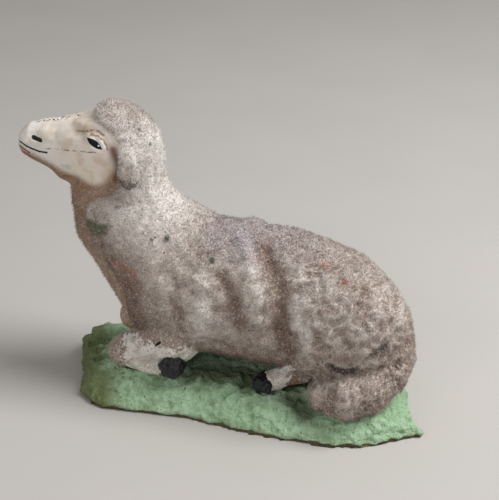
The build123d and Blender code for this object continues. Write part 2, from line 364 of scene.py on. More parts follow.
class Finish:
    """A material whose nodes are added one at a time."""

    def __init__(self, name):
        self.material = bpy.data.materials.new(name)
        self.material.use_nodes = True
        self.tree = self.material.node_tree
        self.tree.nodes.clear()

    def node(self, kind, settings=None, values=None):
        """A new node: its settings come first, then the values or links of its sockets."""
        node = self.tree.nodes.new(kind)
        for key, value in (settings or {}).items():
            setattr(node, key, value)
        for key, value in (values or {}).items():
            socket = node.inputs[key]
            if isinstance(value, Value):
                self.tree.links.new(value.socket, socket)
            elif hasattr(value, "__len__") and len(value) == 3 and socket.type == "RGBA":
                socket.default_value = (*value, 1)
            else:
                socket.default_value = value
        return node

    def value(self, kind, output=0, settings=None, values=None):
        """One output of a new node, ready for expressions."""
        return Value(self, self.node(kind, settings, values).outputs[output])

    def tone(self, name, output="Color"):
        """A colour or number that the mesh carries under a name."""
        return self.value("ShaderNodeAttribute", output, {"attribute_name": name})

    def place(self):
        """The place on the object."""
        return self.value("ShaderNodeTexCoord", "Object")

    def noise(self, size, detail=2.0):
        """Noise from 0 to 1 with grains of a size in millimetres."""
        values = {"Vector": self.place(), "Scale": 1 / (size * MM), "Detail": detail}
        return self.value("ShaderNodeTexNoise", "Fac", None, values)

    def cells(self, size):
        """Distance from the middles of cells of a size in millimetres."""
        values = {"Vector": self.place(), "Scale": 1 / (size * MM)}
        return self.value("ShaderNodeTexVoronoi", "Distance", None, values)

    def vector(self, operation, *others, output=0):
        """The result of a Vector Math node."""
        settings = {"operation": operation}
        return self.value("ShaderNodeVectorMath", output, settings, dict(enumerate(others)))

    def mix(self, share, first, second, way="MIX"):
        """A colour between two others."""
        settings = {"data_type": "RGBA", "blend_type": way, "clamp_factor": True}
        values = {0: share, 6: first, 7: second}
        return self.value("ShaderNodeMix", 2, settings, values)

    def times(self, colour, factor):
        """A colour multiplied by a factor for red, green and blue."""
        return self.mix(1.0, colour, factor, "MULTIPLY")

    def layered(self, colour, *layers):
        """A colour with others laid over it in turn, each layer given as a share and a colour."""
        for share, over in layers:
            colour = self.mix(share, colour, over)
        return colour

    def bump(self, height, depth):
        """A normal from a height of 0 to 1 that stands for a depth in millimetres."""
        return self.value("ShaderNodeBump", "Normal", None, {"Height": height, "Distance": depth * MM})

    def side_view(self):
        """The place seen from the side, in millimetres: along and up, the same on both sides."""
        return self.vector("MULTIPLY", self.place(), (1 / MM, 0, 1 / MM))

    def dot(self, place, along, up):
        """Distance from a spot in the side view."""
        return self.vector("DISTANCE", place, (along, 0, up), output=1)

    def line(self, place, *path):
        """Distance from a path of straight runs in the side view."""
        nearest = None
        for (a, b), (c, d) in zip(path, path[1:]):
            length = (c - a) ** 2 + (d - b) ** 2
            out = self.vector("SUBTRACT", place, (a, 0, b))
            share = self.vector("DOT_PRODUCT", out, ((c - a) / length, 0, (d - b) / length), output=1)
            share = share.maths("ADD", share, 0.0, clamp=True)
            foot = self.vector("MULTIPLY_ADD", share, (c - a, 0, d - b), (a, 0, b))
            gap = self.vector("DISTANCE", place, foot, output=1)
            nearest = gap if nearest is None else nearest.least(gap)
        return nearest

    def almond(self, place, middle, reach, above, below):
        """How far inside an eye's outline a place is: the arcs above and below share two corners."""
        along, up = -sin(EYE_SLOPE), cos(EYE_SLOPE)
        arcs = []
        for rise, way in ((above, 1), (below, -1)):
            radius = (reach**2 + rise**2) / (2 * rise)
            drop = way * (rise - radius)
            arcs.append(radius - self.dot(place, middle[0] + along * drop, middle[1] + up * drop))
        return arcs[0].least(arcs[1])

    def done(self, colour, roughness, normal=None, coat=None, **plain):
        """Ends the material in a surface shader; what is plain has one value all over."""
        values = {"Base Color": colour, "Roughness": roughness}
        if normal is not None:
            values["Normal"] = normal
        if coat is not None:
            values["Coat Weight"] = coat
        for key, value in plain.items():
            values[key.replace("_", " ").title().replace("Ior", "IOR")] = value
        shader = self.node("ShaderNodeBsdfPrincipled", None, values)
        output = self.node("ShaderNodeOutputMaterial")
        self.tree.links.new(shader.outputs[0], output.inputs["Surface"])
        return self.material


class Value:
    """A shader socket that takes part in Python expressions."""

    def __init__(self, finish, socket):
        self.finish = finish
        self.socket = socket

    def maths(self, operation, *others, clamp=False):
        """The result of a Math node on some values."""
        settings = {"operation": operation, "use_clamp": clamp}
        return self.finish.value("ShaderNodeMath", 0, settings, dict(enumerate(others)))

    def __add__(self, other):
        return self.maths("ADD", self, other)

    def __radd__(self, other):
        return self.maths("ADD", other, self)

    def __sub__(self, other):
        return self.maths("SUBTRACT", self, other)

    def __rsub__(self, other):
        return self.maths("SUBTRACT", other, self)

    def __mul__(self, other):
        return self.maths("MULTIPLY", self, other)

    def __rmul__(self, other):
        return self.maths("MULTIPLY", other, self)

    def least(self, other):
        """The smaller of two values."""
        return self.maths("MINIMUM", self, other)

    def most(self, other):
        """The larger of two values."""
        return self.maths("MAXIMUM", self, other)

    def step(self, low, high):
        """0 at low, 1 at high and a soft step between; low may be the larger."""
        settings = {"interpolation_type": "SMOOTHSTEP"}
        falls = low > high
        values = {"Value": self, "From Min": min(low, high), "From Max": max(low, high)}
        values.update({"To Min": 1.0 if falls else 0.0, "To Max": 0.0 if falls else 1.0})
        return self.finish.value("ShaderNodeMapRange", 0, settings, values)


def flock_finish():
    """Short glued fibres over brown ground: grainy, matt and uneven in tone."""
    finish = Finish("flock")
    fine = finish.noise(0.48)
    grain = finish.noise(1.1, 3.0)
    blotch = finish.noise(3.4, 3.0)
    dark = (fine.step(0.47, 0.35) * 0.35).most(grain.step(0.45, 0.34) * 0.25)
    specks = finish.cells(2.5) + finish.noise(0.5) * 0.16 + finish.noise(11.0) * 0.24
    colour = finish.layered(
        finish.tone("tone"),
        (dark, paint(104, 80, 62)),
        (fine.step(0.53, 0.66) * 0.40, FLOCK_TIP),
        (blotch.step(0.58, 0.40) * 0.12, FLOCK_BROWN),
        (specks.step(0.285, 0.255) * 0.85, paint(50, 50, 44)),
    )
    normal = finish.bump(fine * 0.55 + grain * 0.45, 0.50)
    return finish.done(colour, 0.95, normal, sheen_weight=0.15, specular_ior_level=0.12)


def fibre_finish():
    """The single fibres of the flock, each with a tone of its own."""
    finish = Finish("flock_fibre")
    shade = finish.noise(0.35, 1.0).step(0.35, 0.65) * 0.25
    colour = finish.mix(shade, finish.tone("tone"), paint(228, 224, 219))
    return finish.done(colour, 0.85, sheen_weight=0.2, specular_ior_level=0.2)


# The eye's slope, and the lines painted on the face, seen from the side: how much a line wavers, how far
# from its path it is gone and how far it is full, and the path
EYE_SLOPE = -0.598
FACE_LINES = {
    "lid": (2.4, 0.45, 0.08, [
        (-46.6, 80.2), (-44.6, 80.5), (-43.1, 80.9), (-41.4, 81.35), (-39.5, 81.3), (-38.1, 80.5),
    ]),
    "fold": (2.0, 0.38, 0.06, [(-41.6, 80.55), (-39.4, 80.3), (-38, 79.3), (-37.2, 77.9), (-36.9, 76.9)]),
    "shade": (2.0, 2.4, 0.4, [(-47, 81), (-44.2, 80.3), (-42.4, 79.4)]),
    "crease": (1.5, 0.24, 0.08, [(-56, 74.1), (-50.5, 74.8), (-44.9, 75.5), (-39.3, 75.8)]),
    "nostril": (0.8, 0.66, 0.56, [(-59.8, 76.6), (-57.6, 76.2)]),
    "mouth": (1.4, 0.34, 0.22, [
        (-65, 74.9), (-62.6, 73.95), (-60.9, 73.35), (-58.3, 72.75), (-55.9, 72.85),
    ]),
    "lower lip": (1.6, 0.28, 0.14, [(-64.4, 73.4), (-62.5, 72.6), (-61.2, 72)]),
    "red": (2.0, 0.75, 0.35, [(-63, 71.6), (-61.2, 70.9)]),
}


def face_finish():
    """Glossy cream paint over the moulded body, with painted eyes, nostrils and mouth."""
    finish = Finish("face_paint")
    blotch = finish.noise(4.0, 3.0)
    fine = finish.noise(0.7, 3.0)
    grit = finish.noise(0.45)
    tone = finish.tone("tone")
    wear = finish.tone("wear", "Fac")
    dusty = finish.tone("dusty", "Fac")
    dirt = (finish.cells(1.5) + fine * 0.30).step(0.225, 0.165)
    chips = (fine + wear * 0.28).step(0.775, 0.825)

    place = finish.side_view()
    wobble = finish.noise(0.9) * 0.22 - 0.11
    white = finish.almond(place, (-40.05, 78.2), reach=3.1, above=1.65, below=1.15)
    white = (white + wobble).step(0.0, 0.12)
    black = finish.almond(place, (-40.45, 78.3), reach=2.7, above=0.98, below=0.90)
    black = (black + wobble).step(-0.02, 0.10)
    glint = (finish.dot(place, -39.25, 77.85) + wobble).step(0.30, 0.20)
    line = {}
    for name, (waver, gone, full, path) in FACE_LINES.items():
        line[name] = (finish.line(place, *path) + wobble * waver).step(gone, full)

    colour = finish.layered(
        tone,
        (blotch.step(0.44, 0.64) * 0.8, finish.times(tone, paint(236, 227, 215))),
        (grit.step(0.48, 0.38) * dusty * 0.45, paint(74, 58, 46)),
        (grit.step(0.55, 0.64) * dusty * 0.40, paint(184, 170, 156)),
        (dirt * (0.45 + wear).least(1.0) * 0.8, paint(96, 76, 56)),
        (chips * 0.9, paint(70, 54, 44)),
        (line["shade"] * 0.18, paint(128, 100, 76)),
        (line["crease"] * fine.step(0.44, 0.54) * 0.75, paint(88, 68, 52)),
        (line["lid"] * fine.step(0.38, 0.54) * 0.70, DEEP_BROWN),
        (line["fold"] * 0.75, DEEP_BROWN),
        (white, EYE_WHITE),
        (black, PAINT_BLACK),
        (glint, EYE_WHITE),
        (line["red"] * 0.7, LIP_RED),
        (line["nostril"].most(line["mouth"]).most(line["lower lip"] * 0.8), PAINT_BLACK),
    )
    matt = (dusty + black + chips).least(1.0)
    roughness = 0.34 + blotch * 0.16 + matt * 0.35
    normal = finish.bump(blotch * 0.5 + fine * 0.4 + grit * dusty * 0.8 - chips * 0.6, 0.16)
    coat = 0.35 - matt * 0.33
    return finish.done(colour, roughness, normal, coat=coat, coat_roughness=0.16, specular_ior_level=0.25)


def mound_finish():
    """Green paint brushed over rough pressed ground, dirty in its pits and chipped at its edge."""
    finish = Finish("mound_paint")
    tone = finish.tone("tone")
    mottle = finish.noise(2.6, 4.0)
    fine = finish.noise(0.6, 3.0)
    pits = (finish.cells(1.6) + fine * 0.40).step(0.30, 0.20)
    specks = (finish.cells(2.8) + finish.noise(0.5) * 0.16).step(0.175, 0.145)
    colour = finish.layered(
        tone,
        (mottle.step(0.48, 0.62), finish.times(tone, (1.18, 1.16, 1.22))),
        ((mottle * 0.4 + fine * 0.6).step(0.45, 0.36) * 0.38, GREEN_DARK),
        (pits * 0.50, paint(70, 80, 46)),
        (specks * 0.8, paint(56, 46, 30)),
    )
    # Lighter on the tops of the small bumps: painted highlight.
    colour = finish.mix(fine.step(0.58, 0.70), colour, finish.times(colour, (1.25, 1.20, 1.25)))
    normal = finish.bump(mottle * 0.5 + fine * 0.5 - pits * 0.4, 1.4)
    return finish.done(colour, 0.45 + mottle * 0.2, normal, specular_ior_level=0.25)


def leg_finish():
    """Worn flock on the legs, with the white ground showing through, cracked and dirty."""
    finish = Finish("leg_paint")
    fine = finish.noise(0.48)
    grain = finish.noise(1.1, 3.0)
    patch = finish.noise(2.6, 3.0)
    worn = finish.tone("worn", "Fac") + (grain * 0.6 + patch * 0.4 - 0.5) * 2.6
    ink = finish.tone("ink", "Fac") + fine * 0.4 - 0.05
    dark = (fine.step(0.49, 0.36) * 0.50).most(grain.step(0.47, 0.35) * 0.50)
    flocked = finish.layered(
        finish.tone("tone"),
        (dark, paint(92, 74, 60)),
        (fine.step(0.54, 0.66) * 0.45, paint(228, 220, 212)),
    )
    plaster = finish.layered(
        PLASTER,
        (patch.step(0.52, 0.42) * 0.5, paint(176, 160, 148)),
        (fine.step(0.46, 0.37) * 0.55, paint(130, 112, 98)),
        ((finish.cells(1.7) + fine * 0.40).step(0.37, 0.30) * 0.85, paint(60, 53, 46)),
    )
    colour = finish.layered(flocked, (worn.step(0.40, 0.62), plaster), (ink.step(0.52, 0.66), PAINT_BLACK))
    return finish.done(colour, 0.8, finish.bump(fine * 0.5 + grain * 0.5, 0.45), specular_ior_level=0.3)


def hoof_finish():
    """Thick black paint with a dull gloss and tiny lumps."""
    finish = Finish("hoof_paint")
    fine = finish.noise(0.5, 3.0)
    lump = finish.noise(1.2)
    # Bluish grey on the lumps' tops: painted highlight.
    colour = finish.mix(lump.step(0.58, 0.74) * 0.6, HOOF_BLACK, paint(34, 40, 54))
    normal = finish.bump(fine * 0.4 + lump * 0.6, 0.9)
    roughness = 0.24 + fine * 0.26
    return finish.done(colour, roughness, normal, coat=0.25, coat_roughness=0.2, specular_ior_level=0.35)


def floor_finish():
    """Plain pale floor."""
    finish = Finish("floor")
    shade = finish.noise(60.0).step(0.3, 0.7) * 0.4
    colour = finish.mix(shade, paint(186, 182, 177), paint(180, 177, 172))
    return finish.done(colour, 0.8, specular_ior_level=0.2)


# Sizes and colours that a user may change


class MoundSettings(bpy.types.PropertyGroup):
    """The painted mound."""

    grain: FloatProperty(
        name="Grain", description="Size of the mound's smallest shape", default=0.00045, unit="LENGTH"
    )
    ripple: FloatProperty(
        name="Ripple", description="Height of the mound's lumps", default=0.0009, unit="LENGTH"
    )


class BodySettings(bpy.types.PropertyGroup):
    """The moulded and painted body."""

    grain: FloatProperty(
        name="Grain", description="Size of the body's smallest shape", default=0.0005, unit="LENGTH"
    )
    cream: FloatVectorProperty(
        name="Cream", description="Colour of the face", default=FACE_CREAM,
        subtype="COLOR", size=3, min=0, max=1,
    )


class FleeceSettings(bpy.types.PropertyGroup):
    """The flocked coat."""

    grain: FloatProperty(
        name="Grain", description="Size of the coat's smallest shape", default=0.00048, unit="LENGTH"
    )
    relief: FloatProperty(
        name="Relief", description="Height of the wool's lumps", default=0.0012, unit="LENGTH"
    )
    fibre_length: FloatProperty(name="Fibre", description="Length of a fibre", default=0.0009, unit="LENGTH")
    fibres: IntProperty(name="Fibres", description="Fibres on the coat", default=47000, min=0, max=49000)


class StageSettings(bpy.types.PropertyGroup):
    """Floor, light and camera."""

    lens: FloatProperty(
        name="Lens", description="Focal length of the camera", default=84.86, subtype="UNSIGNED"
    )
    distance: FloatProperty(
        name="Distance", description="From camera to figurine", default=0.330, unit="LENGTH"
    )


# The wool. Folds and dips here and below are given as a height, a width and a path
FLANK_FOLDS = [
    (0.9, 2.4, [(-9.4, 14.2, 43.1), (-9.6, 15.7, 37.7), (-10.3, 15.9, 31.4), (-11.2, 13.9, 24.3)]),
    (-1.1, 2.4, [(-4.7, 13.7, 44), (-2.8, 14.9, 41.2), (-1, 15.5, 37), (0.6, 15.6, 30.9)]),
    (0.8, 2.3, [(0.1, 4.9, 53), (1.7, 9.9, 49.8), (3.4, 12.8, 45.4), (5.5, 14.9, 39)]),
    (-1.3, 2.5, [
        (5.2, 7.9, 50.7), (8.6, 11.1, 47.2), (11.2, 13.3, 43.4), (12.4, 15, 38.3), (12.1, 15.8, 30.9),
    ]),
    (-1.1, 2.4, [(12.1, 15.8, 30.9), (14.5, 15.5, 24.5)]),
    (0.6, 3.0, [(16.8, 14, 46), (17, 17, 38), (19.5, 18.5, 28)]),
    (-0.7, 2.2, [(-17.5, 14.5, 40), (-16.8, 15, 31)]),
]
TAIL_FOLDS = [
    (0.5, 2.0, [(22.5, 20, 16), (22, 21.5, 10)]),
    (-0.5, 2.0, [(27, 22, 15), (26, 23, 10)]),
    (0.5, 2.2, [(31, 22.5, 16), (31.5, 22.5, 11)]),
    (-0.4, 2.0, [(36.5, 20.5, 16), (37, 21, 12)]),
]
TAIL_END = (-1.7, 4.0, [(44, 11.5, 17), (43.5, 12, 14)])

# The paths of the neck's front, browned with dirt and painted shade, of the flock's end on the neck and of
# the shoulder, made paler with painted light
NECK_FRONT = [(-43.5, 9.5, 56.5), (-39.5, 10.3, 51), (-35, 11.6, 45), (-31, 12.5, 40)]
NECK_HEM = [
    (-34.2, 9.6, 64.6), (-38.7, 9.4, 62.9), (-42.6, 9.1, 60.9), (-45.2, 7.9, 57.2),
    (-45.9, 7.7, 53.3), (-43.6, 8.6, 48.1), (-41.1, 8.3, 42.3), (-39.2, 8, 36.6),
]
SHOULDER = [(-25, 12, 51), (-17, 14, 41)]

# This draws the brown streaks out along the neck
COMBED = np.array([[1.0, 0.0, 0.35], [0.0, 1.0, 0.0], [0.30, 0.0, 0.35]])


def wool_relief(points):
    """Height of the moulded wool, from about -1.5 to 1: folds on the flanks, curls behind, little ahead."""
    along, _, height = points.T
    behind = smooth(along, 8, 18)
    ahead = smooth(along, -16, -28)
    top = smooth(height, 44, 54)
    small = 0.6 * curls(points, 3.3, 21) + 0.4 * curls(points, 2.1, 23) - 0.50
    large = rough(points, 5.0, 25, 2)
    fine = lumps(points, 1.8, 28)
    relief = (0.35 + 0.45 * behind) * small * (1 - 0.45 * top) + 0.45 * large + 0.20 * fine
    relief = relief * (1 - 0.70 * ahead)
    for rise, width, path in FLANK_FOLDS:
        relief = relief + rise / 1.2 * stroke(points, path, width)
    return relief


def flock_tone(points, relief):
    """Colour of the flock: painted light makes it pale on ridges and the neck; its own tone, dirt and painted
    shade make it greyer on top and brown in hollows and below.
    """
    along, _, height = points.T
    grain = rough(points, 2.4, 35, 3)
    broad = lumps(points, 12, 31) * 0.5 + 0.5
    # The neck is made paler with painted light.
    neck = smooth(along, -10, -22) * smooth(height, 44, 60) * smooth(height, 86, 78)
    # Pale on the ridges: painted light.
    light = 0.80 * smooth(relief + 0.35 * broad + 0.40 * grain, -0.30, 0.95)
    back = smooth(height, 44, 52) * smooth(along, -14, -8)

    # Brown in the hollows, low down, under the belly, on the chest and on the neck's front: dirt and painted
    # shade.
    hollow = smooth(relief + 0.40 * grain, 0.05, -1.05)
    low = smooth(height, 34, 12)
    flank = (0.50 + 0.18 * smooth(along, 22, 14)) * low * smooth(along, -24, -14)
    shoulder = 0.45 * low * smooth(along, -14, -24)
    under = smooth(height, 22, 15) * smooth(along, 20, 14)
    chest = smooth(along, -16, -36) * smooth(height, 46, 34)
    streak = smooth(rough(points @ COMBED, 1.5, 37, 3), 0.0, -0.5)
    streak = streak * smooth(along, -24, -40) * smooth(height, 66, 58) * (1 - stroke(points, NECK_HEM, 3.5))
    hem = stroke(points, NECK_HEM, 4.5) * (0.80 + 0.6 * grain)
    front = stroke(points, NECK_FRONT, 4.5) * (0.8 + 0.6 * grain)
    brown = 0.58 * hollow + flank + shoulder + 0.30 * under + 0.75 * chest
    brown = brown + 0.55 * streak + 0.42 * hem + 0.45 * front
    return layered(
        mixed(FLOCK_MID, FLOCK_LIGHT, np.maximum(light, neck)),
        (0.35 * neck, FLOCK_TIP),
        # The shoulder is made paler with painted light.
        (0.5 * stroke(points, SHOULDER, 7.0), paint(232, 224, 217)),
        # Greyer on top: partly the wool's lilac tone, partly painted shade.
        (0.25 * smooth(height, 42, 54) * broad + (0.30 + 0.35 * broad) * back, FLOCK_LILAC),
        # The rump's top is darkened with painted shade.
        (0.4 * smooth(along, 14, 26) * smooth(height, 34, 44), FLOCK_MID),
        (np.clip(brown, 0, 0.88), FLOCK_BROWN),
        (0.8 * smooth(lumps(points, 1.4, 45), 0.86, 0.93), paint(54, 50, 44)),
    )


# The stage, in metres: a lamp has a place, a width, a power and a colour
FLOOR_REACH = 3.0
AIM = Vector((0, 0, 0.0462))
LAMPS = {
    "window": ((0.40, 0.00, 0.58), 0.36, 5.2, (1, 1, 1)),
    "front": ((-0.20, -0.62, 0.36), 0.50, 0.9, (1, 0.99, 0.98)),
}
ROOM_COLOUR, ROOM_LIGHT = (0.99, 0.99, 1.0, 1), 0.34
CAMERA_TURN, CAMERA_RISE = radians(12), radians(27)


class BuildStage(bpy.types.Operator):
    """Makes the floor, the light and the camera."""

    bl_idname = "sheep.build_stage"
    bl_label = "Stage"

    def execute(self, context):
        settings = context.scene.sheep_stage
        mesh = bpy.data.meshes.new("floor")
        corners = [(x * FLOOR_REACH, y * FLOOR_REACH, 0) for x, y in ((-1, -1), (1, -1), (1, 1), (-1, 1))]
        mesh.from_pydata(corners, [], [(0, 1, 2, 3)])
        floor = placed("floor", mesh, floor_finish())

        for name, (place, size, power, colour) in LAMPS.items():
            lamp = bpy.data.lights.new(name, "AREA")
            lamp.shape = "DISK"
            lamp.size = size
            lamp.energy = power
            lamp.color = colour
            holder = placed(name, lamp)
            holder.location = place
            holder.rotation_euler = (AIM - Vector(place)).to_track_quat("-Z", "Y").to_euler()

        world = bpy.data.worlds.new("room")
        world.use_nodes = True
        background = world.node_tree.nodes["Background"]
        background.inputs["Color"].default_value = ROOM_COLOUR
        background.inputs["Strength"].default_value = ROOM_LIGHT
        context.scene.world = world
        context.scene.view_settings.view_transform = "Standard"

        level = cos(CAMERA_RISE)
        back = Vector((sin(CAMERA_TURN) * level, -cos(CAMERA_TURN) * level, sin(CAMERA_RISE)))
        camera = bpy.data.cameras.new("camera")
        camera.lens = settings.lens
        camera.clip_start = 0.01
        holder = placed("camera", camera)
        holder.location = AIM + back * settings.distance
        holder.rotation_euler = (-back).to_track_quat("-Z", "Y").to_euler()
        context.scene.camera = holder
        return {"FINISHED"}


# The mound: its dips by the haunch and the belly, which hold painted shade, all its ridges and dips, and the
# painted shade under the belly
HAUNCH_DIP = [(15.5, 14.5, 8.4), (20, 18.5, 7.2)]
BELLY_DIP = [(1, 11, 8.7), (3, 8, 8.8)]
MOUND_RIDGES = [
    (0.9, 1.5, [(-39, 8.2, 9.2), (-44.1, 14, 5), (-48, 13.4, 1.2)]),
    (-1.0, 3.0, [(-46, 5, 7), (-48.5, -1, 7), (-49.5, -7, 8)]),
    (0.9, 1.2, [(-14, 7.5, 9.5), (-11.8, 8.8, 9.2), (-12.4, 12.2, 8.6), (-16, 15.2, 7.6)]),
    (-1.0, 2.0, [(-16, 11.5, 8.7), (-20, 14, 8)]),
    (-1.2, 2.2, HAUNCH_DIP),
    (-0.7, 2.4, BELLY_DIP),
]
UNDER_BELLY = [(-12, 8, 9), (-4, 6, 9), (6, 7, 9), (14, 9, 9)]


class BuildMound(bpy.types.Operator):
    """Makes the painted mound with its ragged lower edge."""

    bl_idname = "sheep.build_mound"
    bl_label = "Mound"

    def execute(self, context):
        settings = context.scene.sheep_mound
        form = Form(["base_mound"], settings.grain / MM)
        form.fair(20)
        corner = stroke(form.points, [(-48.5, 11, 1)], 5.0, NEAR)
        corner = corner + 0.8 * stroke(form.points, [(-53.5, -10, 5)], 5.0, NEAR)
        form.points = form.points + corner[:, None] * np.array((-1.8, -0.9, 0))
        brushed = rough(form.points, 3.2, 4, 3)
        ridged = 0.5 - np.abs(rough(form.points, 2.6, 15, 2)) * 2
        fine = rough(form.points, 1.2, 5, 2)
        height = 0.5 * rough(form.points, 8.0, 1) + 0.9 * brushed + 0.70 * ridged + 0.65 * fine
        form.push(settings.ripple / MM * height * smooth(form.points[:, 2], 0.3, 2.5))
        form.carve(MOUND_RIDGES, NEAR)

        # The lower edge: a ragged fringe above, and the side drawn in under it.
        flat = form.points * (1, 1, 0)
        lip = 0.75 + 0.75 * rough(flat, 3.0, 9, 3)
        way = form.normals() * (1, 1, 0)
        way = way / (np.linalg.norm(way, axis=1, keepdims=True) + 0.3)
        under = smooth(form.points[:, 2], lip + 0.3, lip - 0.3)
        fringe = smooth(form.points[:, 2], lip + 2.2, lip + 0.3) * (1 - under)
        side = fringe * 0.85 * rough(flat, 2.4, 19, 3) - 1.3 * under
        form.points = form.points + way * side[:, None]
        form.points[:, 2] = np.maximum(form.points[:, 2], 0)

        points = form.points
        left = smooth(points[:, 0] + 0.35 * points[:, 1], -37, -46) * smooth(points[:, 2], 9.8, 7.8)
        # Painted shade in the dips by the haunch and the belly and on the ground under the belly.
        dirt = strongest(points, [(1, 4.0, HAUNCH_DIP), (1, 3.0, BELLY_DIP)], NEAR)
        dirt = np.maximum(dirt, stroke(points, UNDER_BELLY, 5.0))
        tone = layered(
            mixed(GREEN_MID, GREEN_LIGHT, 0.5 + 0.5 * lumps(points, 9.0, 12)),
            # Lighter on the brushed lumps' tops and darker between them: painted highlight and painted shade.
            (0.45 * smooth(brushed, 0.1, 0.6), paint(182, 208, 178)),
            (0.35 * smooth(brushed, -0.15, -0.6), GREEN_DARK),
            # Darker towards the right end: painted shade.
            (0.35 * smooth(points[:, 0], 0, 45), paint(122, 152, 120)),
            # Darker on the left end's slope, which faces away from the light: painted shade, with some dirt.
            (0.85 * left, GREEN_DARK),
            # Painted shade under the belly and by the haunch.
            (0.85 * dirt, paint(58, 62, 34)),
            (0.25 * fringe, paint(112, 96, 62)),
            # Brown on the drawn-in side under the lip: painted shade.
            (0.9 * under, paint(96, 74, 52)),
        )
        seat(form.make("mound", mound_finish(), tone=tone), "mound_paint", "base_mound")
        return {"FINISHED"}


# The body: creases between the CAD's forms that are filled, as share, width and path, and the throat's dips
FILLED = [
    (1, 4.0, [(-52, 0, 65), (-49.5, 4.5, 65.5), (-44, 7.2, 68.3)]),
    (1, 3.0, [(-44, 7.2, 68.3), (-36, 7.8, 68.8)]),
    (1, 6.0, [(-52, 0, 51), (-49, 0, 42)]),
]
THROAT_MARKS = [
    (-0.7, 1.5, [
        (-51, 3, 65.6), (-48, 5.6, 65), (-44.4, 7, 64.3),
        (-40.9, 8, 64.6), (-38.4, 8.2, 65.6), (-36.4, 8, 67.4),
    ]),
    (-1.2, 4.5, [(-50.5, 0, 56), (-50, 4, 55)]),
]

# The face: eyeball, lids, fold, inner corner, brow, forehead, nostril, side of the nose, mouth and lips
FACE_MARKS = [
    (0.35, 1.4, [(-40.4, 8.9, 78.2)]),
    (0.40, 0.50, [
        (-43, 8.2, 79.9), (-41, 8.4, 80.35), (-39.3, 8.6, 79.8), (-38, 9, 78.3), (-37.6, 9, 76.9),
    ]),
    (0.25, 0.55, [(-42.4, 8.3, 78.6), (-41.4, 9, 76.9), (-39.6, 9.1, 76), (-37.9, 9.1, 75.9)]),
    (-0.35, 0.55, [
        (-44.6, 7, 80.5), (-43.1, 7.6, 80.9), (-41.4, 7.7, 81.35),
        (-39.5, 7.8, 81.3), (-38.1, 8.1, 80.5), (-36.9, 8.9, 78),
    ]),
    (-0.50, 1.5, [(-46.6, 6, 80.2), (-45, 6.6, 80)]),
    (0.45, 1.3, [(-47, 4.6, 82.6), (-43.5, 5.9, 82.8), (-40, 6.4, 82.6)]),
    (-0.45, 2.6, [(-45.5, 1.5, 84), (-43, 3, 84.2)]),
    (-0.30, 0.50, [(-59.9, 4.1, 76.6), (-57.9, 4.5, 76.25)]),
    (0.35, 2.0, [(-56.5, 4, 78.4)]),
    (-0.40, 0.40, [
        (-65.2, 0, 75), (-64.2, 3, 74.5), (-62.6, 3.9, 73.9),
        (-60.9, 4.3, 73.35), (-58.3, 4.8, 72.75), (-55.9, 5.3, 72.85),
    ]),
    (0.30, 0.8, [(-64, 1, 72.3), (-62.5, 3.2, 72.2), (-60.5, 3.9, 71.6)]),
    (0.25, 0.9, [(-64.8, 1.5, 76), (-62.5, 3.6, 75.2)]),
]

# The face's seam, its rubbed places and its dirt with painted shade in the hollows by the ear and the eye, as
# share, width and path
SEAM = [(-60, 0.9, 80.2), (-52, 0.9, 81.5), (-47.5, 0.9, 82.6)]
RUBBED = [
    (0.7, 0.5, [(-56, 5.3, 74.1), (-44.9, 8.4, 75.6), (-39.3, 9.2, 75.8)]),
    (0.6, 1.6, [(-56, 4, 69.5), (-49, 6, 70.5), (-45, 7.5, 72)]),
]
FACE_DIRT_AND_SHADE = [
    (0.90, 1.5, [(-35.4, 8.9, 76.9), (-34.6, 8.7, 73.6), (-34.4, 8.2, 70.4), (-35.5, 8, 68)]),
    (0.12, 1.5, [(-46.8, 6.1, 80.2), (-45, 6.7, 80.2)]),
]


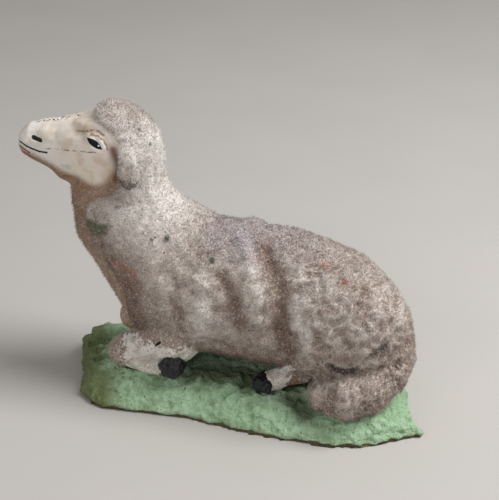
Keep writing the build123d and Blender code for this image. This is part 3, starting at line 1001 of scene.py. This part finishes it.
class BuildBody(bpy.types.Operator):
    """Makes the moulded body's two halves, with the painted face and throat."""

    bl_idname = "sheep.build_body"
    bl_label = "Moulded body"

    def execute(self, context):
        settings = context.scene.sheep_body
        form = Form(["body_half_left", "body_half_right"], settings.grain / MM, fine_head=True)
        form.fair(40)
        web = stroke(form.points, [(-51.2, 0, 66), (-50.2, 4.5, 66.2)], 3.4)
        form.points = form.points + web[:, None] * np.array((-1.7, 0, -2.2))
        form.melt(strongest(form.points, FILLED), 170)
        form.carve(THROAT_MARKS)
        form.carve(FACE_MARKS)
        points = form.points
        along, _, height = points.T
        seam = stroke(points, SEAM, 1.0)
        chips = seam * smooth(rough(points, 1.1, 91, 2), 0.05, 0.45)
        covered = form.distance("fleece_coat", "fleece_cap")
        form.push(-0.25 * chips - 2.2 * smooth(along, -32, -24))

        throat = self.throat(points)
        chip = stroke(points, [(-51, 6, 69.8), (-49.6, 6.6, 69.4)], 0.9)
        chip = chip * smooth(rough(points, 0.9, 93, 2), -0.2, 0.2)
        chest = smooth(height, 64, 61) * smooth(along, -33, -36) * smooth(covered, 0.1, 0.4)
        flocked = 0.35 + 0.5 * rough(points, 2.6, 99, 3) + 0.5 * smooth(height, 56, 42)
        tone = layered(
            np.tile(settings.cream[:], (len(points), 1)),
            # Paler towards the muzzle: partly a paler paint, partly painted light.
            (0.80 * smooth(along, -48, -57), paint(232, 228, 223)),
            (0.7 * stroke(points, [(-46, 2, 83.5), (-42, 3, 84.5)], 3.2), paint(188, 176, 162)),
            (0.8 * chip, paint(196, 200, 194)),
            # The throat is painted brown: dirt and painted shade under the jaw.
            (0.95 * throat, DIRT_AND_SHADE_BROWN),
            (0.7 * stroke(points, NECK_HEM, 3.4) * throat, paint(176, 156, 138)),
            # Darker at the nose's tip: painted shade along its edge, with brown specks.
            (0.5 * stroke(points, [(-65, 0, 78.5), (-65.2, 0, 75.5)], 2.6), paint(168, 146, 126)),
            # Dirt and painted shade in the hollows by the ear and at the eye's inner corner.
            (strongest(points, FACE_DIRT_AND_SHADE), DEEP_BROWN),
            # The bare chest's front is painted brown: dirt and painted shade.
            (chest, mixed(DIRT_AND_SHADE_BROWN, paint(176, 156, 139), flocked)),
        )
        wear = np.maximum(seam, strongest(points, RUBBED))
        whole = form.make("moulded_body", face_finish(), tone=tone, wear=wear, dusty=throat, bare=1 - chest)
        left, right = halved(whole, ("body_left", "body_right"), (LEFT, RIGHT))
        seat(left, "face_paint", "body_half_left")
        seat(right, "face_paint", "body_half_right")
        return {"FINISHED"}

    def throat(self, points):
        """1 on the bare throat, painted brown for dirt and for the shade under the jaw: below a straight run
        back from the chin, then below an arc up to the ear.
        """
        along, _, height = points.T
        ahead = smooth(height + 0.385 * (along + 44.4), 67.2, 63.8)
        arc = np.hypot(along + 42.5, height - 72.0)
        round_jaw = smooth(arc, 5.0, 8.2) * smooth(height, 73.0, 69.0)
        return np.maximum(np.where(along < -43.0, ahead, round_jaw), smooth(height, 65.6, 64.6))


# The CAD nodes that touch the flock, and the flock's stains as colour, strength, width and path
COAT = ["fleece_coat", "fleece_cap"]
BODIES = ["body_half_left", "body_half_right"]
LIMBS = ["foreleg_left", "foreleg_right", "hind_foot_left", "hind_foot_right", "tail"]
EARS = ["ear_left", "ear_right"]
STAINS = [
    ((70, 84, 52), 0.8, 1.5, [(-43.5, 9.8, 54.8), (-41.1, 10.3, 53.5), (-38.9, 10.8, 53.6)]),
    ((176, 108, 84), 0.55, 0.8, [(-36, 11.6, 44.1), (-33, 12.3, 43.2), (-29.8, 13.2, 42.5)]),
    ((58, 84, 70), 0.9, 0.8, [(-20.8, 10.3, 52.8)]),
    ((50, 76, 62), 0.9, 0.75, [(-7.9, 11.7, 47.9)]),
    ((72, 92, 76), 0.8, 0.5, [(-29.1, 5.1, 81.7)]),
    ((80, 90, 86), 0.8, 0.5, [(-26.1, 4.5, 77.6)]),
    ((176, 112, 96), 0.5, 1.0, [(22.4, 7, 47.5)]),
    ((168, 100, 90), 0.6, 0.9, [(28.9, 12.2, 46.1)]),
    ((168, 158, 176), 0.4, 1.8, [(0.1, 4.9, 53), (1, 8, 51.5)]),
    ((44, 36, 30), 0.9, 1.0, [
        (26.3, 18.7, 22.6), (28, 17.3, 21.4), (31, 16.8, 21), (33.4, 16.7, 22.4),
    ]),
    ((54, 44, 38), 0.8, 1.0, [(37.5, 16.7, 27.7), (39.2, 15.2, 28), (41.3, 15.2, 29.5)]),
    ((46, 42, 40), 0.8, 0.8, [(36.5, 0, 43), (38.5, 0.5, 41.5)]),
    ((46, 42, 40), 0.8, 0.6, [(41.5, 2, 37.5), (43, 1, 35)]),
    ((50, 46, 42), 0.8, 0.5, [(44.4, 1.4, 32.5)]),
    ((60, 52, 46), 0.7, 0.6, [(44.9, 9.6, 22.4), (43.6, 11, 20)]),
    ((52, 48, 42), 0.8, 0.5, [(29.4, 0.1, 47.3)]),
    ((58, 64, 54), 0.8, 0.45, [(-24.9, 11.1, 52.2)]),
]


class BuildFleece(bpy.types.Operator):
    """Makes the flocked coat over back, sides, haunches, neck and crown."""

    bl_idname = "sheep.build_fleece"
    bl_label = "Fleece"

    def execute(self, context):
        settings = context.scene.sheep_fleece
        form = Form(COAT + BODIES + LIMBS + EARS, settings.grain / MM)
        own, limb, skin, ear = (form.distance(*nodes) for nodes in (COAT, LIMBS, BODIES, EARS))
        edge = smooth(own, 0.25, 0.9)
        run = smooth(own, 0.8, 3.4)
        ear_top = smooth(form.points[:, 2], 72.5, 75.5) * (ear < 0.4)
        bare = np.where((limb < skin) & (limb < 0.5), run, edge)
        bare = bare * (1 - ear_top) + run * ear_top
        form.fair(45)
        junction = np.exp(-((np.minimum(limb, ear) / 1.6) ** 2)) * np.exp(-((own / 2.0) ** 2))
        form.melt(junction, 30)
        nape = stroke(form.points, [(-28.5, 0, 84), (-25.8, 2, 80), (-27.5, 6.5, 76)], 4.0)
        form.melt(nape * (edge < 0.01), 60)

        # Beyond its edge the flock sinks into the body, most of all far from the edge. Under the tail it
        # keeps its relief, and towards the bare face and throat its rim is thin.
        on_body = (skin < limb) & (skin < ear)
        deep = smooth(own, 1.5, 4.0) * on_body
        woolly = (form.distance("tail") < 0.5) * (own > 0.3)
        rim = 0.40 * smooth(self.from_rim(form, (own > 0.35) & on_body), 2.2, 0.4)
        relief = wool_relief(form.points)
        height = relief * settings.relief / MM + 0.30 * rough(form.points, 1.3, 41, 2)
        height = height * (1 - bare * (1 - woolly))
        form.push(height - (0.8 + 0.5 * woolly) * bare - 2.2 * deep - rim * (1 - bare))
        form.carve([TAIL_END])
        tone = self.stained(form.points, flock_tone(form.points, relief))
        seat(form.make("fleece", flock_finish(), tone=tone, bare=bare), "flock", "fleece_coat", "fleece_cap")
        return {"FINISHED"}

    def from_rim(self, form, beyond):
        """Each point's distance from the uncovered part of the head and neck, where the flock ends."""
        beyond = np.flatnonzero(beyond & (form.points[:, 2] > 50))
        tree = KDTree(len(beyond))
        for number in beyond:
            tree.insert(form.points[number], number)
        tree.balance()
        return np.array([tree.find(point)[2] if point[2] > 48 else 99.0 for point in form.points])

    def stained(self, points, tone):
        """Adds the green, orange and dark stains of the figurine's near side."""
        speck = rough(points, 1.2, 95, 2)
        for colour, strength, width, path in STAINS:
            share = smooth(stroke(points, path, 1.25 * width, NEAR) + 0.30 * speck, 0.25, 0.60)
            tone = mixed(tone, paint(*colour), strength * share)
        return tone


class BuildEars(bpy.types.Operator):
    """Makes the two short hanging ears."""

    bl_idname = "sheep.build_ears"
    bl_label = "Ears"

    def execute(self, context):
        # This is the plain material that the frame brings, and not the finish above.
        finish = bpy.data.materials["flock"]
        for name in EARS:
            form = Form([name], 0.3)
            form.fair(12)
            relief = rough(form.points, 2.0, 51, 3)
            form.push(0.45 * relief - 0.30 - 0.9 * smooth(form.points[:, 2], 71.5, 75.0))
            along, _, height = form.points.T
            speck = rough(form.points, 0.9, 53, 2)
            tip = smooth(height + 0.25 * (along + 31) + 0.5 * speck, 69.7, 69.1)
            tone = layered(
                flock_tone(form.points, relief),
                (0.8, FLOCK_LIGHT),
                (0.8 * smooth(speck, 0.35, 0.55), paint(66, 70, 62)),
                (0.95 * tip, paint(40, 48, 36)),
            )
            seat(form.make(name + "_flock", finish, tone=tone), "flock", name)
        return {"FINISHED"}


class BuildTail(bpy.types.Operator):
    """Makes the thick woolly tail."""

    bl_idname = "sheep.build_tail"
    bl_label = "Tail"

    def execute(self, context):
        settings = context.scene.sheep_fleece
        form = Form(["tail"], 0.4)
        form.fair(30)
        relief = wool_relief(form.points)
        for height, width, path in TAIL_FOLDS:
            relief = relief + height * stroke(form.points, path, width)
        form.push(relief * settings.relief / MM + 0.30 * rough(form.points, 1.3, 41, 2))
        form.carve([TAIL_END])
        smudge = [(31.3, 22.2, 12.1), (34.5, 22.2, 11.9), (36.8, 21.2, 12.8), (38.8, 19.8, 13.8)]
        smudged = stroke(form.points, smudge, 0.9)
        share = 0.85 * smudged * smooth(rough(form.points, 1.0, 97, 2), -0.1, 0.3)
        tone = mixed(flock_tone(form.points, relief), paint(52, 42, 36), share)
        # As on the ears, this is the plain material that the frame brings.
        seat(form.make("tail_wool", bpy.data.materials["flock"], tone=tone), "flock", "tail")
        return {"FINISHED"}


# The two strokes of black paint on the left foreleg, as share, width and path
LEG_INK = [
    (1, 0.45, [(-24.1, 15.8, 21.2), (-22.4, 15.9, 22.6)]),
    (1, 0.35, [(-19.6, 15.6, 23.2), (-18.4, 15.5, 23.8)]),
]


class BuildLegs(bpy.types.Operator):
    """Makes the folded forelegs and the hind feet."""

    bl_idname = "sheep.build_legs"
    bl_label = "Legs"

    def execute(self, context):
        finish = leg_finish()
        for number, name in enumerate(("foreleg_left", "foreleg_right", "hind_foot_left", "hind_foot_right")):
            form = Form([name], 0.35)
            form.fair(22)
            form.push(0.50 * rough(form.points, 2.6, 70 + number, 3))
            if name.startswith("hind"):
                form.push(np.full(len(form.points), 0.25))
                rear = np.clip(form.points[:, 0] - 11.0, 0, 6)
                form.points = form.points + rear[:, None] * np.array((0, 0, 0.42))
                form.points[:, 1] *= 1 - 0.02 * rear
            points = form.points
            along, _, height = points.T
            tone = mixed(FLOCK_MID, FLOCK_BROWN, np.full(len(points), 0.25))
            worn, ink = np.zeros(len(points)), np.zeros(len(points))
            if name == "foreleg_left":
                worn = smooth(height, 24.0, 19.0) * smooth(along, -38.5, -31.0)
                ink = strongest(points, LEG_INK)
            elif name == "foreleg_right":
                tone = mixed(tone, paint(196, 166, 138), 0.7)
            else:
                worn = 0.85 * smooth(along, 18.5, 12.0)
            seat(form.make(name + "_worn", finish, tone=tone, worn=worn * 0.9, ink=ink), "leg_paint", name)
        return {"FINISHED"}


# Growth and shift of each hoof: the dried paint is thicker than the hoof under it
HOOVES = {
    "hoof_fore_left": ((0.96, 1.12, 1.20), (1.3, -3, 2.3)),
    "hoof_fore_right": ((1.05, 1.05, 1.05), (0, 0.3, 0.3)),
    "hoof_hind_left": ((1.30, 1.25, 1.06), (-0.1, -0.8, 0.5)),
    "hoof_hind_right": ((1.1, 1.05, 1), (-0.3, 0.4, 0.2)),
}


class BuildHooves(bpy.types.Operator):
    """Makes the thick black hoof tips."""

    bl_idname = "sheep.build_hooves"
    bl_label = "Hooves"

    def execute(self, context):
        finish = hoof_finish()
        for number, (name, (growth, shift)) in enumerate(HOOVES.items()):
            form = Form([name], 0.24)
            form.fair(10)
            middle = (form.points.min(axis=0) + form.points.max(axis=0)) / 2
            form.points = middle + (form.points - middle) * growth + shift
            lump = 0.85 * rough(form.points, 2.2, 80 + number, 3)
            form.push(lump + 0.60 * rough(form.points, 1.1, 90 + number, 2))
            seat(form.make(name + "_paint", finish), "hoof_paint", name)
        return {"FINISHED"}


# The flock's fibres: how many stand on the smaller pieces, how a fibre stands, and its shades with the
# share of fibres that have each
TAIL_FIBRES, SMALL_FIBRES = 20000, 2600
FIRST_SEED = 900
FIBRE_LEAN, FIBRE_RISE = 0.75, 0.25
FIBRE_RADIUS, FIBRE_ROOT = 0.070, 0.12
FIBRE_SHADES = [1.30, 1.10, 0.90, 0.62, 0.25]
SHADE_SHARES = [0.30, 0.28, 0.24, 0.14, 0.04]


class BuildFlock(bpy.types.Operator):
    """Scatters single fibres over the flocked pieces."""

    bl_idname = "sheep.build_flock"
    bl_label = "Flock fibres"

    def execute(self, context):
        settings = context.scene.sheep_fleece
        finish = fibre_finish()
        length = settings.fibre_length / MM
        wanted = [
            ("fleece", "under_fibres", settings.fibres),
            ("fleece", "over_fibres", settings.fibres),
            ("tail_wool", "fibres", TAIL_FIBRES),
            ("ear_left_flock", "fibres", SMALL_FIBRES),
            ("ear_right_flock", "fibres", SMALL_FIBRES),
            ("body_left", "chest_fibres", SMALL_FIBRES),
            ("body_right", "chest_fibres", SMALL_FIBRES),
        ]
        for number, (carrier, ending, count) in enumerate(wanted):
            name = carrier + "_" + ending
            random = np.random.default_rng(FIRST_SEED + number)
            seat(scattered_fibres(bpy.data.objects[carrier], name, count, length, random, finish), "flock")
        return {"FINISHED"}


def scattered_fibres(carrier, name, count, length, random, finish):
    """Closed three-sided fibres standing in all directions on a piece, in the piece's own tones."""
    mesh = carrier.data
    mesh.calc_loop_triangles()
    places = read(mesh.vertices, "co", 3) / MM
    corners = read(mesh.loop_triangles, "vertices", 3, np.int32)
    tone = read(mesh.attributes["tone"].data, "color", 4)[:, :3]
    bare = np.zeros((len(places), 1))
    if "bare" in mesh.attributes:
        bare = read(mesh.attributes["bare"].data, "value", 1)

    first, second, third = (places[corners[:, i]] for i in range(3))
    facing = np.cross(second - first, third - first)
    area = np.linalg.norm(facing, axis=1)
    facing /= area[:, None] + 1e-12
    # None stand on the faces that close the two halves of the body at the middle plane.
    closing = np.abs(places[corners, 1]).max(axis=1) < 0.02
    chance = area * (bare[corners, 0].max(axis=1) < 0.3) * ~closing
    chosen = random.choice(len(corners), count, p=chance / chance.sum())
    share = random.dirichlet((1, 1, 1), count)
    root = sum(share[:, i, None] * places[corners[chosen, i]] for i in range(3))
    colour = tone[corners[chosen, 0]]
    facing = facing[chosen]

    way = facing + FIBRE_LEAN * random.normal(size=(count, 3))
    way /= np.linalg.norm(way, axis=1, keepdims=True)
    way += facing * np.maximum(0, FIBRE_RISE - (way * facing).sum(axis=1))[:, None]
    across = np.cross(way, random.normal(size=(count, 3)))
    across /= np.linalg.norm(across, axis=1, keepdims=True) + 1e-12
    other = np.cross(way, across)
    size = length * random.uniform(0.55, 1.15, count)[:, None]
    width = FIBRE_RADIUS * random.uniform(0.8, 1.4, count)[:, None]
    points = np.empty((count, 4, 3))
    for i in range(3):
        turn = 2 * np.pi * i / 3
        points[:, i] = root - facing * FIBRE_ROOT + width * (np.cos(turn) * across + np.sin(turn) * other)
    points[:, 3] = root + way * size
    faces = np.array([(0, 1, 3), (1, 2, 3), (2, 0, 3), (2, 1, 0)])
    faces = (faces[None] + 4 * np.arange(count)[:, None, None]).reshape(-1, 3)
    clump = smooth(rough(root, 1.1, 61, 2), 0.25, -0.45)
    shade = random.choice(FIBRE_SHADES, count, p=SHADE_SHARES) * (1 - 0.38 * clump)
    colour = np.clip(colour * shade[:, None], 0, 0.9)

    made = bpy.data.meshes.new(name)
    made.from_pydata((points.reshape(-1, 3) * MM).tolist(), [], faces.tolist())
    layer = made.color_attributes.new("tone", "FLOAT_COLOR", "POINT")
    layer.data.foreach_set("color", np.repeat(np.c_[colour, np.ones(count)], 4, axis=0).ravel())
    # Each fibre has one cell of the texture, which its four faces share.
    row = int(np.ceil(np.sqrt(count)))
    cell = np.stack([np.arange(count) % row, np.arange(count) // row], axis=1)
    corner = np.array([(0.12, 0.12), (0.88, 0.12), (0.12, 0.88)] * 4)
    chart = made.uv_layers.new(name="OFBake")
    chart.data.foreach_set("uv", ((cell[:, None, :] + corner[None]) / row).ravel())
    return placed(name, made, finish)


class SheepPanel(bpy.types.Panel):
    """Lists the settings and the pieces of the figurine."""

    bl_idname = "SHEEP_PT_pieces"
    bl_label = "Sheep figurine"
    bl_space_type = "VIEW_3D"
    bl_region_type = "UI"
    bl_category = "Sheep"

    def draw(self, context):
        for name in SETTINGS:
            group = getattr(context.scene, name)
            box = self.layout.box()
            for prop in group.bl_rna.properties:
                if prop.identifier not in ("rna_type", "name"):
                    box.prop(group, prop.identifier)
        for operator in BUILDERS:
            self.layout.operator(operator.bl_idname)


SETTINGS = {
    "sheep_mound": MoundSettings,
    "sheep_body": BodySettings,
    "sheep_fleece": FleeceSettings,
    "sheep_stage": StageSettings,
}
BUILDERS = (
    BuildStage, BuildMound, BuildBody, BuildFleece, BuildEars, BuildTail, BuildLegs, BuildHooves, BuildFlock,
)


def register():
    """Adds the settings, the operators and the panel to Blender."""
    for name, group in SETTINGS.items():
        bpy.utils.register_class(group)
        setattr(bpy.types.Scene, name, PointerProperty(type=group))
    for builder in BUILDERS:
        bpy.utils.register_class(builder)
    bpy.utils.register_class(SheepPanel)


def unregister():
    """Takes them out again."""
    bpy.utils.unregister_class(SheepPanel)
    for builder in reversed(BUILDERS):
        bpy.utils.unregister_class(builder)
    for name, group in SETTINGS.items():
        delattr(bpy.types.Scene, name)
        bpy.utils.unregister_class(group)


def main():
    """Builds the whole figurine."""
    register()
    for builder in BUILDERS:
        family, name = builder.bl_idname.split(".")
        getattr(getattr(bpy.ops, family), name)()


if __name__ == "__main__":
    main()
